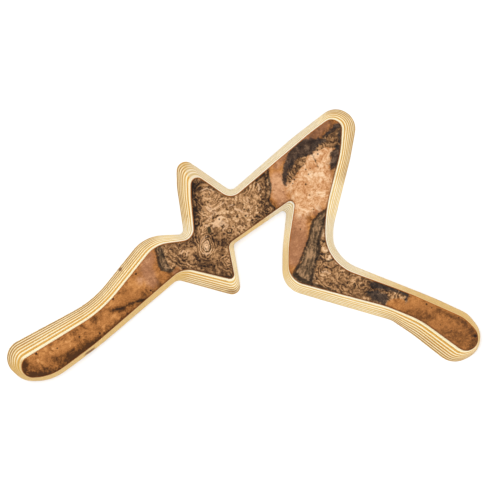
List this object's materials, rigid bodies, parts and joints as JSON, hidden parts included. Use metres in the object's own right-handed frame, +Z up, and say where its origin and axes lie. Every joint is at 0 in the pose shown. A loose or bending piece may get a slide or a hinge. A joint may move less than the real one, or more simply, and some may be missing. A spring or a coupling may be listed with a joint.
{
  "type": "boomerang",
  "caption": "Flat laminated birch boomerang shaped like a stretched star, with a bevelled rim and a walnut burl veneer face.",
  "frame": {"origin": "middle of the outline's bounding box, on the flat underside", "axes": "+X from the left tip to the right tip, +Y towards the apex in plan, +Z up out of the burl face"},
  "size_m": [0.44, 0.2526, 0.0071],
  "materials": {
    "birch_long_grain": "clear satin lacquer",
    "birch_cross_grain": "clear satin lacquer on end grain",
    "film_glue": "cured resin",
    "walnut_burl": "clear satin lacquer"
  },
  "bodies": {
    "root": {"birch_ply_01": "birch_long_grain", "birch_ply_02": "birch_cross_grain", "birch_ply_03": "birch_long_grain", "birch_ply_04": "birch_cross_grain", "birch_ply_05": "birch_long_grain", "birch_ply_06": "birch_cross_grain", "birch_ply_07": "birch_long_grain", "birch_ply_08": "birch_cross_grain", "birch_ply_09": "birch_long_grain", "birch_ply_10": "birch_cross_grain", "birch_ply_11": "birch_long_grain", "birch_ply_12": "birch_cross_grain", "birch_ply_13": "birch_long_grain", "glue_film_01": "film_glue", "glue_film_02": "film_glue", "glue_film_03": "film_glue", "glue_film_04": "film_glue", "glue_film_05": "film_glue", "glue_film_06": "film_glue", "glue_film_07": "film_glue", "glue_film_08": "film_glue", "glue_film_09": "film_glue", "glue_film_10": "film_glue", "glue_film_11": "film_glue", "glue_film_12": "film_glue", "glue_film_13": "film_glue", "burl_veneer": "walnut_burl"}
  },
  "joints": []
}
